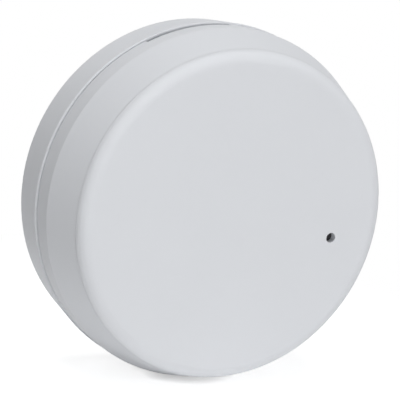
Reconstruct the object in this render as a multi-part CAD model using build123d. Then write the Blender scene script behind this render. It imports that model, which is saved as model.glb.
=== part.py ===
from build123d import *
from math import cos, pi, radians, sin, sqrt, tan
import os

# A round, battery-powered glass break detector for a wall: a rear base, a twist-on unit and a pull-off cover.
# Millimetres and degrees. It is drawn lying on its back: x to the right and y up as seen from the front,
# z out of the wall. The last lines stand it up, so that the wall is Y = 0, the front faces -Y and +Z is up.
# Angles round the axis are measured from +x towards +y, anticlockwise as seen from the front.

os.makedirs("parts", exist_ok=True)

# Running and seating clearances
slide_clearance = 0.05
seat_clearance = 0.1
cut_over = 1.0
root_overlap = 0.5
body_clearance = 0.3
shell_clearance = 0.6

# Outside
belt_diameter = 80.0
total_depth = 28.8

# Base
base_depth = 11.3
base_rim_overhang = 0.2
base_taper = 1.25
base_wall = 2.2
base_floor = 2.2
base_rim_round = 0.45
base_back_round = 0.4
wall_screw_spacing = 50.0
wall_screw_slot_width = 4.5
wall_screw_slot_length = 8.0
wall_screw_head_diameter = 9.0
wall_screw_head_sink = 1.0

# Bayonet between base and unit
lug_angles = (30, 150, 270)
lug_width_angle = 18.0
lug_thickness = 2.0
lug_reach = 2.2
ledge_thickness = 2.1
ledge_reach = 2.7
shoulder_height = 2.1
twist_stop_angle = 2.5
twist_stop_play_angle = 0.5

# Front cover
parting_gap = 0.25
cover_skirt_taper = 0.2
belt_depth = 17.2
belt_round = 1.2
side_draft = 17.0
front_round = 2.85
cover_wall = 2.0
cover_rear_edge_round = 0.2
cover_inner_front_round = 0.85
pry_slot_angle = 102.8
pry_slot_width_angle = 29.5
pry_slot_depth = 1.4
sound_hole_diameter = 2.3
sound_hole_x = 24.5
sound_hole_y = -4.6
lamp_thinning = 1.2
lamp_thinning_diameter = 5.0
snap_angles = (15, 75, 195, 255)
snap_width_angle = 8.0
snap_height = 0.35
snap_length = 1.4
snap_behind_belt = 1.6
key_angles = (45, 225)
key_width = 2.0
key_reach = 1.6
key_behind_belt = 3.6
key_notch_length = 6.4
press_rib_diameter = 4.0
press_rib_length = 1.0

# Chassis
chassis_wall = 1.6
chassis_floor = 1.6
chassis_floor_height = 4.2
chassis_lip = 1.3
chassis_step_gap = 0.3
snap_groove_depth = 0.3
snap_groove_play_angle = 0.5

# Circuit board and its screws
board_post_height = 9.2
board_thickness = 1.6
board_edge_gap = 1.2
board_post_diameter = 6.0
board_post_margin = 5.2
board_post_angles = (12.2, 96.9, -96.9)
screw_diameter = 2.0
screw_length = 7.0
screw_head_diameter = 3.8
screw_head_height = 1.5
screw_hole_play = 0.2
screw_drive_width = 2.2
screw_drive_slot = 0.45
screw_drive_depth = 0.8
screw_end_room = 0.6

# Battery, its saddles and contacts
cell_diameter = 17.0
cell_length = 34.5
cell_floor_gap = 0.5
cell_board_gap = 1.7
cell_contact_wall_gap = 1.05
cell_nub_diameter = 6.2
cell_nub_length = 1.5
cell_cap_thickness = 0.8
cell_cap_diameter = 13.6
cell_seal_width = 0.9
cell_edge_round = 0.6
cell_sleeve_thickness = 0.15
battery_spring_length = 4.0
battery_spring_wire = 0.7
battery_spring_turns = 2.5
battery_spring_wide_radius = 4.6
battery_spring_narrow_radius = 2.8
contact_thickness = 0.5
contact_width = 12.0
contact_half_height = 6.2
contact_tail_width = 1.6
contact_tail_margin = 1.8
contact_arm_height = 2.2
contact_tail_end = 0.8
contact_tail_play = 0.2
end_wall_thickness = 1.6
end_wall_width = 13.0
end_wall_rise = 5.2
saddle_spacing = 18.0
saddle_thickness = 1.8
saddle_side = 0.8

# Microphone
mic_diameter = 9.7
mic_height = 6.7
mic_port_diameter = 2.4
mic_port_depth = 0.6
boot_wall = 1.5
boot_skirt_start = 1.2
boot_throat_diameter = 5.0
screen_diameter = 6.0
screen_thickness = 0.3

# Chips and small parts on the board
mcu_at = (9.0, 4.5)
mcu_side = 9.0
mcu_height = 1.4
mcu_pins_per_side = 11
mcu_pin_pitch = 0.8
mcu_pin_width = 0.35
mcu_pin_reach = 1.0
amp_at = (15.5, -14.0)
amp_length = 8.65
amp_width = 3.9
amp_height = 1.5
amp_pins_per_side = 7
amp_pin_pitch = 1.27
amp_pin_width = 0.42
amp_pin_reach = 1.05
pin_thickness = 0.2
chip_standoff = 0.15
radio_at = (2.2, -18.5)
radio_length = 15.0
radio_width = 11.0
radio_thickness = 1.0
radio_notch_pitch = 1.6
radio_notches = 7
radio_notch_diameter = 0.9
shield_length = 10.5
shield_width = 9.0
shield_height = 2.0
shield_wall = 0.25
crystal_at = (-2.5, 11.5)
crystal_length = 11.0
crystal_width = 4.5
crystal_height = 3.3
crystal_base_height = 0.7
crystal_base_margin = 0.5
antenna_wall_gap = 3.0
antenna_wire = 0.9
antenna_rise = 4.8
antenna_start_angle = -86.0
antenna_end_angle = -30.0
antenna_bend_radius = 2.4
antenna_leg_end = 0.6
antenna_hole_play = 0.15
lamp_at = (-2.0, -4.0)
lamp_diameter = 3.0
lamp_height = 5.0
lamp_dome_round = 1.4
lamp_flange_diameter = 3.8
lamp_flange_height = 1.0
round_capacitors = ((17.3, 22.8, 6.3, 5.7), (5.0, -28.5, 5.0, 5.4), (-3.5, 3.0, 5.0, 5.4))
capacitor_base_height = 0.9
capacitor_base_margin = 0.3
capacitor_edge_round = 0.5
chip_capacitors = ((16.4, 0.5, 90), (16.4, 5.0, 90), (1.5, 6.0, 90), (9.0, -4.0, 0), (22.5, -18.0, 0),
                   (9.0, -10.5, 90), (13.0, -8.5, 0), (-6.0, -9.5, 90))
chip_capacitor_length = 2.0
chip_capacitor_width = 1.25
chip_capacitor_height = 0.95
chip_resistors = ((6.0, 12.6, 0), (9.0, 12.6, 0), (12.0, 12.6, 0), (4.5, -6.5, 90), (1.5, -9.0, 0),
                  (22.5, -12.6, 90), (12.5, -18.7, 0), (15.5, -18.7, 0), (18.5, -18.7, 0), (25.5, 18.4, 0),
                  (1.2, -1.5, 90))
chip_resistor_length = 1.6
chip_resistor_width = 0.8
chip_resistor_height = 0.45
chip_terminal_length = 0.35
header_at = (15.0, -23.8)
header_columns = 3
header_rows = 2
header_pitch = 2.54
header_body_height = 2.5
header_pin_width = 0.64
header_pin_room = 2.2

# Test button
button_at = (2.0, 21.5)
button_side = 6.0
button_body_height = 3.5
button_plate_thickness = 0.3
button_cap_diameter = 3.5
button_cap_top = 5.2
button_cap_depth = 1.6
button_travel = 0.25

# DIP switch
dip_at = (9.5, 18.2)
dip_pitch = 2.54
dip_ways = 2
dip_width = 6.2
dip_length = 6.0
dip_height = 3.0
dip_slider_width = 1.2
dip_slider_length = 1.5
dip_slider_sink = 1.1
dip_slider_proud = 0.8
dip_travel = 1.0

# Tamper switch
tamper_at = (21.0, 13.4)
tamper_side = 6.0
tamper_overtravel = 0.3
tamper_wall = 0.6
tamper_stem_diameter = 2.4
tamper_flange_diameter = 4.2
tamper_flange_thickness = 0.5
tamper_travel = 1.0
tamper_spring_length = 2.3
tamper_spring_wire = 0.3
tamper_spring_turns = 2.5
tamper_spring_radius = 1.6

# Worked out from the sizes above
belt_radius = belt_diameter / 2
base_rim_radius = belt_radius + base_rim_overhang
base_back_radius = base_rim_radius - base_taper
base_slope = base_taper / base_depth
shoulder_top = base_floor + shoulder_height
lug_bottom = shoulder_top + body_clearance
lug_top = lug_bottom + lug_thickness
ledge_bottom = lug_top + body_clearance
ledge_top = ledge_bottom + ledge_thickness
ledge_wall_radius = base_back_radius - base_wall + base_slope * ledge_bottom
ledge_inner_radius = ledge_wall_radius - ledge_reach
chassis_lower_radius = ledge_inner_radius - body_clearance
lug_radius = chassis_lower_radius + lug_reach
step_bottom = ledge_top + chassis_step_gap
step_top = step_bottom + chassis_wall
floor_top = chassis_floor_height + chassis_floor
chassis_top = belt_depth + chassis_lip

cover_rear = base_depth + parting_gap
cover_rear_radius = belt_radius - cover_skirt_taper
front_corner_radius = belt_radius - (total_depth - belt_depth) * tan(radians(side_draft))
cover_inner_rear_radius = cover_rear_radius - cover_wall
cover_inner_face = total_depth - cover_wall
cover_inner_belt_radius = belt_radius - cover_wall / cos(radians(side_draft))
inner_corner_radius = cover_inner_belt_radius - (cover_inner_face - belt_depth) * tan(radians(side_draft))
chassis_upper_radius = cover_inner_rear_radius - shell_clearance
sound_hole_at = (sound_hole_x, sound_hole_y)
snap_depth = belt_depth - snap_behind_belt
key_depth = belt_depth - key_behind_belt

board_height = floor_top + board_post_height
board_top = board_height + board_thickness
board_radius = chassis_upper_radius - chassis_wall - board_edge_gap
board_post_circle = board_radius - board_post_margin
board_posts = [(board_post_circle * cos(radians(angle)), board_post_circle * sin(radians(angle)))
               for angle in board_post_angles]
cell_radius = cell_diameter / 2
bay_length = battery_spring_length + cell_length + 2 * contact_thickness
bay_low = -bay_length / 2
bay_high = bay_length / 2
can_start = bay_low + contact_thickness + battery_spring_length
cap_end = bay_high - contact_thickness - cell_nub_length
cap_start = cap_end - cell_cap_thickness
cell_axis_height = floor_top + cell_floor_gap + cell_radius
# the cell lies as far out as the corners of its contacts let it
contact_corner_radius = chassis_lower_radius - chassis_wall - cell_contact_wall_gap
cell_axis_x = contact_width / 2 - sqrt(contact_corner_radius ** 2 - bay_high ** 2)
board_cut_x = cell_axis_x + cell_radius + cell_board_gap
contact_low = cell_axis_height - contact_half_height
contact_high = cell_axis_height + contact_half_height
contact_tail_x = board_cut_x + contact_tail_margin
end_wall_top = cell_axis_height + end_wall_rise
tail_low = (contact_tail_x, bay_low + contact_thickness / 2)
tail_high = (contact_tail_x, bay_high - contact_thickness / 2)
mic_top = board_top + mic_height
boot_top = cover_inner_face - body_clearance
boot_bore_radius = mic_diameter / 2 + slide_clearance
boot_radius = boot_bore_radius + boot_wall
antenna_radius = chassis_upper_radius - chassis_wall - antenna_wall_gap
antenna_height = board_top + antenna_rise
header_pin_top = cover_inner_face - header_pin_room
radio_top = board_top + radio_thickness
dip_top = board_top + dip_height
button_top = board_top + button_body_height
tamper_floor = board_top + tamper_wall
tamper_flange_low = tamper_floor + tamper_spring_length
tamper_flange_high = tamper_flange_low + tamper_flange_thickness
tamper_ceiling = tamper_flange_high + tamper_travel + tamper_overtravel
tamper_top = tamper_ceiling + tamper_wall
tamper_stem_top = cover_inner_face - press_rib_length - seat_clearance


def turned(corners, rounds=None):
    # a closed outline of (radius, height) corners, turned once round the z axis
    points = [(r, 0, z) for r, z in corners]
    outline = FilletPolyline(*points, radius=rounds or [0] * len(points), close=True)
    return revolve(make_face(outline), Axis.Z)


def sector(inner, outer, low, high, middle_angle, width_angle):
    # part of a ring, between two radii, two heights and two angles
    corners = [(inner, 0, low), (outer, 0, low), (outer, 0, high), (inner, 0, high)]
    face = make_face(Polyline(*corners, close=True))
    return Rot(Z=middle_angle - width_angle / 2) * revolve(face, Axis.Z, width_angle)


def rod(at, low, high, diameter):
    # a round bar along z
    return Pos(at[0], at[1], (low + high) / 2) * Cylinder(diameter / 2, high - low)


def block(at, low, high, width, length):
    # a box, width along x and length along y
    return Pos(at[0], at[1], (low + high) / 2) * Box(width, length, high - low)


def slot(at, low, high, length, width):
    # a bar with round ends, its length along x
    return Pos(at[0], at[1], low) * extrude(SlotOverall(length, width), amount=high - low)


def cell_bar(radius, low, high):
    # a round bar along y, on the battery's axis
    return Pos(cell_axis_x, (low + high) / 2, cell_axis_height) * Rot(X=-90) * Cylinder(radius, high - low)


def coil(turns, length, wire, start_radius, end_radius):
    # a wire spring along z, from 0 to its length: a pair of tangent arcs for each quarter turn
    rise = length - wire
    spread = end_radius - start_radius
    quarters = round(turns * 4)
    steepness = rise / (turns * 2 * pi)
    widening = spread / (turns * 2 * pi)

    def point(k):
        radius = start_radius + spread * k / quarters
        return Vector(radius * cos(k * pi / 2), radius * sin(k * pi / 2), wire / 2 + rise * k / quarters)

    def heading(k):
        radius = start_radius + spread * k / quarters
        outward = Vector(cos(k * pi / 2), sin(k * pi / 2), 0) * widening
        return (Vector(-radius * sin(k * pi / 2), radius * cos(k * pi / 2), steepness) + outward).normalized()

    arcs = []
    for k in range(quarters):
        here, there, leaving, arriving = point(k), point(k + 1), heading(k), heading(k + 1)
        # each arc bends round a corner equally far from both its ends; the arcs meet between the corners
        chord, both = there - here, leaving + arriving
        a, b, c = both.dot(both) - 4, -2 * chord.dot(both), chord.dot(chord)
        reach = (-b - sqrt(b * b - 4 * a * c)) / (2 * a)
        first, second = here + leaving * reach, there - arriving * reach
        meeting = (first + second) * 0.5
        arcs.append(Edge.make_tangent_arc(here, leaving, meeting))
        arcs.append(Edge.make_tangent_arc(meeting, second - first, there))
    path = Wire(arcs)
    samples = 40
    points = [path @ (k / samples / turns) for k in range(round(samples * turns))]
    gap = min((p - q).length for i, p in enumerate(points) for q in points[i + samples // 2:]) - wire
    print(f"coil of {turns} turns, least gap to itself {gap:.2f}")
    return sweep(Plane(origin=point(0), z_dir=heading(0)) * Circle(wire / 2), path=path)


def mounting_base():
    inner_back = base_back_radius - base_wall
    inner_rim = base_rim_radius - base_wall
    track = ledge_inner_radius + body_clearance
    corners = [(0, 0), (base_back_radius, 0), (base_rim_radius, base_depth), (inner_rim, base_depth),
               (inner_back + base_slope * shoulder_top, shoulder_top), (track, shoulder_top),
               (track, base_floor), (0, base_floor)]
    rounds = [0, base_back_round, base_rim_round, base_back_round, 0, 0, base_back_round, 0]
    shell = turned(corners, rounds)
    root = ledge_wall_radius + base_wall / 2
    for angle in lug_angles:
        shell += sector(ledge_inner_radius, root, ledge_bottom, ledge_top, angle, lug_width_angle)
        stop_angle = angle - lug_width_angle / 2 - twist_stop_play_angle - twist_stop_angle / 2
        shell += sector(ledge_inner_radius, root, shoulder_top - root_overlap, ledge_top, stop_angle,
                        twist_stop_angle)
    for side in (-1, 1):
        at = (side * wall_screw_spacing / 2, 0)
        head_length = wall_screw_slot_length - wall_screw_slot_width + wall_screw_head_diameter
        shell -= slot(at, -cut_over, base_floor + cut_over, wall_screw_slot_length, wall_screw_slot_width)
        shell -= slot(at, base_floor - wall_screw_head_sink, base_floor + cut_over, head_length,
                      wall_screw_head_diameter)
    return shell


def chassis():
    lower, upper = chassis_lower_radius, chassis_upper_radius
    tray = turned([(0, chassis_floor_height), (lower, chassis_floor_height), (lower, step_bottom),
                   (upper, step_bottom), (upper, chassis_top), (upper - chassis_wall, chassis_top),
                   (upper - chassis_wall, step_top), (lower - chassis_wall, step_top),
                   (lower - chassis_wall, floor_top), (0, floor_top)])
    for angle in lug_angles:
        tray += sector(lower - root_overlap, lug_radius, lug_bottom, lug_top, angle, lug_width_angle)
    for angle in snap_angles:
        reach = snap_length / 2 + body_clearance
        tray -= sector(upper - snap_groove_depth, upper + cut_over, snap_depth - reach, snap_depth + reach,
                       angle, snap_width_angle + 2 * snap_groove_play_angle)
    for angle in key_angles:
        notch = block((upper, 0), key_depth - body_clearance, chassis_top + cut_over, key_notch_length,
                      key_width + 2 * body_clearance)
        tray -= Rot(Z=angle) * notch
    root = floor_top - root_overlap
    for at in board_posts:
        tray += rod(at, root, board_height, board_post_diameter)
        tray -= rod(at, board_top - screw_length - screw_end_room, board_height + cut_over,
                    screw_diameter + 2 * slide_clearance)
    for y in (-saddle_spacing / 2, saddle_spacing / 2):
        tray += block((cell_axis_x, y), root, cell_axis_height, cell_diameter + 2 * saddle_side,
                      saddle_thickness)
    for y in (bay_low - end_wall_thickness / 2, bay_high + end_wall_thickness / 2):
        tray += block((cell_axis_x, y), root, end_wall_top, end_wall_width, end_wall_thickness)
    tray -= cell_bar(cell_radius + seat_clearance, bay_low, bay_high)
    return tray


def antenna_foot(angle, way):
    # where a leg of the antenna meets the board: one bend past the end of its arc
    a = radians(angle)
    along = Vector(-sin(a), cos(a), 0) * way * antenna_bend_radius
    return Vector(antenna_radius * cos(a), antenna_radius * sin(a), 0) + along


def antenna():
    up = Vector(0, 0, 1)
    first, last = antenna_foot(antenna_start_angle, -1), antenna_foot(antenna_end_angle, 1)
    low = up * (board_height - antenna_leg_end)
    high = up * (antenna_height - antenna_bend_radius)
    a, b = radians(antenna_start_angle), radians(antenna_end_angle)
    start = Vector(antenna_radius * cos(a), antenna_radius * sin(a), antenna_height)
    end = Vector(antenna_radius * cos(b), antenna_radius * sin(b), antenna_height)
    path = Wire([Edge.make_line(first + low, first + high),
                 Edge.make_tangent_arc(first + high, up, start),
                 Edge.make_tangent_arc(start, Vector(-sin(a), cos(a), 0), end),
                 Edge.make_tangent_arc(end, Vector(-sin(b), cos(b), 0), last + high),
                 Edge.make_line(last + high, last + low)])
    return sweep(Plane(origin=first + low, z_dir=up) * Circle(antenna_wire / 2), path=path)


def circuit_board():
    board = rod((0, 0), board_height, board_top, 2 * board_radius)
    low, high = board_height - cut_over, board_top + cut_over
    board -= block((board_cut_x - board_radius, 0), low, high, 2 * board_radius, 2 * board_radius)
    for at in board_posts:
        board -= rod(at, low, high, screw_diameter + 2 * screw_hole_play)
    for at in (tail_low, tail_high):
        board -= block(at, low, high, contact_tail_width + 2 * contact_tail_play,
                       contact_thickness + 2 * contact_tail_play)
    for foot in (antenna_foot(antenna_start_angle, -1), antenna_foot(antenna_end_angle, 1)):
        board -= rod((foot.X, foot.Y), low, high, antenna_wire + 2 * antenna_hole_play)
    return board


def board_screw(at):
    head_top = board_top + screw_head_height
    screw = rod(at, board_top - screw_length, board_top, screw_diameter)
    screw += rod(at, board_top, head_top, screw_head_diameter)
    for width, length in ((screw_drive_width, screw_drive_slot), (screw_drive_slot, screw_drive_width)):
        screw -= block(at, head_top - screw_drive_depth, head_top + cut_over, width, length)
    return screw


def battery_can():
    can = cell_bar(cell_radius - cell_sleeve_thickness, can_start, cap_end)
    ends = can.edges().filter_by(GeomType.CIRCLE)
    can = fillet(ends, cell_edge_round)
    can -= cell_bar(cell_cap_diameter / 2 + cell_seal_width, cap_start, cap_end + cut_over)
    return can


def battery_sleeve():
    # a thin plain tube shrunk over the straight part of the can
    low, high = can_start + cell_edge_round, cap_end - cell_edge_round
    inside = cell_bar(cell_radius - cell_sleeve_thickness, low - cut_over, high + cut_over)
    return cell_bar(cell_radius, low, high) - inside


def battery_cap():
    nub_end = cap_end + cell_nub_length
    cap = cell_bar(cell_cap_diameter / 2, cap_start, cap_end)
    return cap + cell_bar(cell_nub_diameter / 2, cap_end, nub_end)


def battery_seal_ring():
    outer = cell_cap_diameter / 2 + cell_seal_width - slide_clearance
    inner = cell_cap_diameter / 2 + slide_clearance
    return cell_bar(outer, cap_start, cap_end) - cell_bar(inner, cap_start - cut_over, cap_end + cut_over)


def battery_spring():
    wound = coil(battery_spring_turns, battery_spring_length, battery_spring_wire,
                 battery_spring_wide_radius, battery_spring_narrow_radius)
    return Pos(cell_axis_x, bay_low + contact_thickness, cell_axis_height) * Rot(X=-90) * wound


def contact_plate(tail):
    # a sprung plate against an end wall, with an arm over the board and a tail soldered through it
    arm_start = cell_axis_x + contact_width / 2 - root_overlap
    arm_end = contact_tail_x + contact_tail_width / 2
    plate = block((cell_axis_x, tail[1]), contact_low, contact_high, contact_width, contact_thickness)
    plate += block(((arm_start + arm_end) / 2, tail[1]), contact_high - contact_arm_height, contact_high,
                   arm_end - arm_start, contact_thickness)
    plate += block(tail, board_height - contact_tail_end, contact_high, contact_tail_width, contact_thickness)
    return plate


def microphone_capsule():
    port = rod(sound_hole_at, mic_top - mic_port_depth, mic_top + cut_over, mic_port_diameter)
    return rod(sound_hole_at, board_top, mic_top, mic_diameter) - port


def microphone_boot():
    throat = boot_throat_diameter / 2
    taper_start = (mic_top + boot_top) / 2
    skirt = board_top + boot_skirt_start
    sleeve = turned([(boot_bore_radius, skirt), (boot_radius, skirt), (boot_radius, taper_start),
                     (throat + boot_wall, boot_top), (throat, boot_top),
                     (throat, mic_top), (boot_bore_radius, mic_top)])
    return Pos(sound_hole_x, sound_hole_y, 0) * sleeve


def chip_body(at, length, width, height):
    return block(at, board_top + chip_standoff, board_top + height, length, width)


def chip_pins(at, length, width, height, turns, count, pitch, pin_width, reach):
    # bent legs along the sides that face the given turns, each standing against the body and on the board
    pins = []
    for turn in turns:
        side = (length if turn % 180 else width) / 2
        for k in range(count):
            x = (k - (count - 1) / 2) * pitch
            foot = block((x, side + reach / 2), board_top, board_top + pin_thickness, pin_width, reach)
            riser = block((x, side + pin_thickness / 2), board_top, board_top + (height + pin_thickness) / 2,
                          pin_width, pin_thickness)
            pins.append(Pos(at[0], at[1], 0) * Rot(Z=turn) * (foot + riser))
    return pins


def radio_module():
    module = block(radio_at, board_top, radio_top, radio_length, radio_width)
    for side in (-1, 1):
        for k in range(radio_notches):
            x = radio_at[0] + (k - (radio_notches - 1) / 2) * radio_notch_pitch
            y = radio_at[1] + side * radio_width / 2
            module -= rod((x, y), board_top - cut_over, radio_top + cut_over, radio_notch_diameter)
    return module


def radio_shield():
    top = radio_top + shield_height
    hollow = block(radio_at, radio_top - cut_over, top - shield_wall, shield_length - 2 * shield_wall,
                   shield_width - 2 * shield_wall)
    return block(radio_at, radio_top, top, shield_length, shield_width) - hollow


def crystal():
    base_top = board_top + crystal_base_height
    base = block(crystal_at, board_top, base_top, crystal_length + 2 * crystal_base_margin,
                 crystal_width + 2 * crystal_base_margin)
    return base + slot(crystal_at, base_top, board_top + crystal_height, crystal_length, crystal_width)


def status_lamp():
    flange, bulb = lamp_flange_diameter / 2, lamp_diameter / 2
    flange_top, top = board_top + lamp_flange_height, board_top + lamp_height
    lamp = turned([(0, board_top), (flange, board_top), (flange, flange_top), (bulb, flange_top), (bulb, top),
                   (0, top)], [0, 0, 0, 0, lamp_dome_round, 0])
    return Pos(lamp_at[0], lamp_at[1], 0) * lamp


def capacitor_base(x, y, diameter, height):
    side = diameter + 2 * capacitor_base_margin
    return block((x, y), board_top, board_top + capacitor_base_height, side, side)


def capacitor_can(x, y, diameter, height):
    can = rod((x, y), board_top + capacitor_base_height, board_top + height, diameter)
    return fillet(can.edges().filter_by(GeomType.CIRCLE).sort_by(Axis.Z)[-1:], capacitor_edge_round)


def chip_part(x, y, turn, length, width, height):
    # the middle of a two-ended chip part
    return Pos(x, y, 0) * Rot(Z=turn) * block((0, 0), board_top, board_top + height,
                                              length - 2 * chip_terminal_length, width)


def chip_ends(x, y, turn, length, width, height):
    # the two metal ends of a chip part
    shift = (length - chip_terminal_length) / 2
    return [Pos(x, y, 0) * Rot(Z=turn) * block((side * shift, 0), board_top, board_top + height,
                                               chip_terminal_length, width) for side in (-1, 1)]


def header_pin_places():
    return [(header_at[0] + (column - (header_columns - 1) / 2) * header_pitch,
             header_at[1] + (row - (header_rows - 1) / 2) * header_pitch)
            for column in range(header_columns) for row in range(header_rows)]


def header_pin(at):
    return block(at, board_top, header_pin_top, header_pin_width, header_pin_width)


def header_body():
    body = block(header_at, board_top, board_top + header_body_height, header_columns * header_pitch,
                 header_rows * header_pitch)
    for at in header_pin_places():
        body -= header_pin(at)
    return body


def test_button_body():
    bore_bottom = board_top + button_cap_top - button_cap_depth - button_travel - seat_clearance
    body = block(button_at, board_top, button_top - button_plate_thickness, button_side, button_side)
    bore_diameter = button_cap_diameter + 2 * slide_clearance
    return body - rod(button_at, bore_bottom, button_top + cut_over, bore_diameter)


def test_button_plate():
    plate = block(button_at, button_top - button_plate_thickness, button_top, button_side, button_side)
    return plate - rod(button_at, board_top, button_top + cut_over, button_cap_diameter + 2 * slide_clearance)


def test_button_cap():
    top = board_top + button_cap_top
    return rod(button_at, top - button_cap_depth, top, button_cap_diameter)


def dip_slider_place(way):
    # a slider rests at the low end of its slot
    return dip_at[0] + (way - (dip_ways - 1) / 2) * dip_pitch, dip_at[1] - dip_travel / 2


def dip_slider(way):
    return block(dip_slider_place(way), dip_top - dip_slider_sink, dip_top + dip_slider_proud,
                 dip_slider_width, dip_slider_length)


def dip_switch_body():
    body = block(dip_at, board_top, dip_top, dip_width, dip_length)
    slot_bottom = dip_top - dip_slider_sink - seat_clearance
    slot_width = dip_slider_width + 2 * slide_clearance
    slot_length = dip_slider_length + dip_travel + 2 * seat_clearance
    for way in range(dip_ways):
        x = dip_slider_place(way)[0]
        body -= block((x, dip_at[1]), slot_bottom, dip_top + cut_over, slot_width, slot_length)
    return body


def tamper_switch_body():
    body = block(tamper_at, board_top, tamper_top, tamper_side, tamper_side)
    body -= rod(tamper_at, tamper_floor, tamper_ceiling, tamper_flange_diameter + 2 * seat_clearance)
    stem_hole = tamper_stem_diameter + 2 * slide_clearance
    return body - rod(tamper_at, tamper_floor, tamper_top + cut_over, stem_hole)


def tamper_plunger():
    stem = rod(tamper_at, tamper_flange_low, tamper_stem_top, tamper_stem_diameter)
    return stem + rod(tamper_at, tamper_flange_low, tamper_flange_high, tamper_flange_diameter)


def tamper_spring():
    wound = coil(tamper_spring_turns, tamper_spring_length, tamper_spring_wire, tamper_spring_radius,
                 tamper_spring_radius)
    return Pos(tamper_at[0], tamper_at[1], tamper_floor) * wound


def front_cover():
    outside = turned([(0, cover_rear), (cover_rear_radius, cover_rear), (belt_radius, belt_depth),
                      (front_corner_radius, total_depth), (0, total_depth)],
                     [0, cover_rear_edge_round, belt_round, front_round, 0])
    hollow = turned([(0, cover_rear - cut_over), (cover_inner_rear_radius, cover_rear - cut_over),
                     (cover_inner_belt_radius, belt_depth), (inner_corner_radius, cover_inner_face),
                     (0, cover_inner_face)], [0, 0, 0, cover_inner_front_round, 0])
    # the hollow leaves room for what stands on the cover's inside: snap beads, turning keys and the press rib
    for angle in snap_angles:
        hollow -= sector(cover_inner_rear_radius - snap_height, belt_radius, snap_depth - snap_length / 2,
                         snap_depth + snap_length / 2, angle, snap_width_angle)
    key_inner = chassis_upper_radius - key_reach
    for angle in key_angles:
        hollow -= Rot(Z=angle) * block(((key_inner + belt_radius) / 2, 0), key_depth, total_depth,
                                       belt_radius - key_inner, key_width)
    hollow -= rod(tamper_at, tamper_stem_top + seat_clearance, total_depth, press_rib_diameter)
    shell = outside - hollow
    inside = cover_inner_face - cut_over
    shell -= rod(lamp_at, inside, cover_inner_face + lamp_thinning, lamp_thinning_diameter)
    shell -= rod(sound_hole_at, inside, cover_inner_face + screen_thickness,
                 screen_diameter + 2 * seat_clearance)
    shell -= rod(sound_hole_at, cover_inner_face, total_depth + cut_over, sound_hole_diameter)
    shell -= sector(cover_inner_rear_radius - cover_wall, belt_radius + cut_over, cover_rear - cut_over,
                    cover_rear + pry_slot_depth, pry_slot_angle, pry_slot_width_angle)
    return shell


mcu = (mcu_at, mcu_side, mcu_side, mcu_height)
amp = (amp_at, amp_length, amp_width, amp_height)
chip_capacitor_size = (chip_capacitor_length, chip_capacitor_width, chip_capacitor_height)
chip_resistor_size = (chip_resistor_length, chip_resistor_width, chip_resistor_height)
terminals = [end for place in chip_capacitors for end in chip_ends(*place, *chip_capacitor_size)]
terminals += [end for place in chip_resistors for end in chip_ends(*place, *chip_resistor_size)]
pins = chip_pins(*mcu, (0, 90, 180, 270), mcu_pins_per_side, mcu_pin_pitch, mcu_pin_width, mcu_pin_reach)
pins += chip_pins(*amp, (0, 180), amp_pins_per_side, amp_pin_pitch, amp_pin_width, amp_pin_reach)

# Every piece by name: one solid, or a list of separate like solids
pieces = {
    "mounting_base": mounting_base(),
    "chassis": chassis(),
    "circuit_board": circuit_board(),
    "board_screws": [board_screw(at) for at in board_posts],
    "battery_can": battery_can(),
    "battery_sleeve": battery_sleeve(),
    "battery_cap": battery_cap(),
    "battery_seal_ring": battery_seal_ring(),
    "battery_spring": battery_spring(),
    "contact_negative": contact_plate(tail_low),
    "contact_positive": contact_plate(tail_high),
    "microphone_capsule": microphone_capsule(),
    "microphone_boot": microphone_boot(),
    "microcontroller": chip_body(*mcu),
    "amplifier_chip": chip_body(*amp),
    "chip_pins": pins,
    "radio_module": radio_module(),
    "radio_shield": radio_shield(),
    "crystal": crystal(),
    "antenna": antenna(),
    "status_lamp": status_lamp(),
    "capacitor_bases": [capacitor_base(*place) for place in round_capacitors],
    "capacitor_cans": [capacitor_can(*place) for place in round_capacitors],
    "chip_capacitors": [chip_part(*place, *chip_capacitor_size) for place in chip_capacitors],
    "chip_resistors": [chip_part(*place, *chip_resistor_size) for place in chip_resistors],
    "chip_terminals": terminals,
    "header_body": header_body(),
    "header_pins": [header_pin(at) for at in header_pin_places()],
    "test_button_body": test_button_body(),
    "test_button_plate": test_button_plate(),
    "test_button_cap": test_button_cap(),
    "dip_switch_body": dip_switch_body(),
    "tamper_switch_body": tamper_switch_body(),
    "tamper_plunger": tamper_plunger(),
    "tamper_spring": tamper_spring(),
    "front_cover": front_cover(),
    "dust_screen": rod(sound_hole_at, cover_inner_face, cover_inner_face + screen_thickness, screen_diameter),
}
for way in range(dip_ways):
    pieces[f"dip_slider_{way + 1}"] = dip_slider(way)

upright = Rot(X=90)
for name, piece in pieces.items():
    solids = [solid for part in (piece if isinstance(piece, list) else [piece]) for solid in part.solids()]
    shape = solids[0] if len(solids) == 1 else Compound(solids)
    export_step(upright * shape, f"parts/{name}.step")
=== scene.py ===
from functools import cached_property
from math import cos, pi, radians, sin

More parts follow.
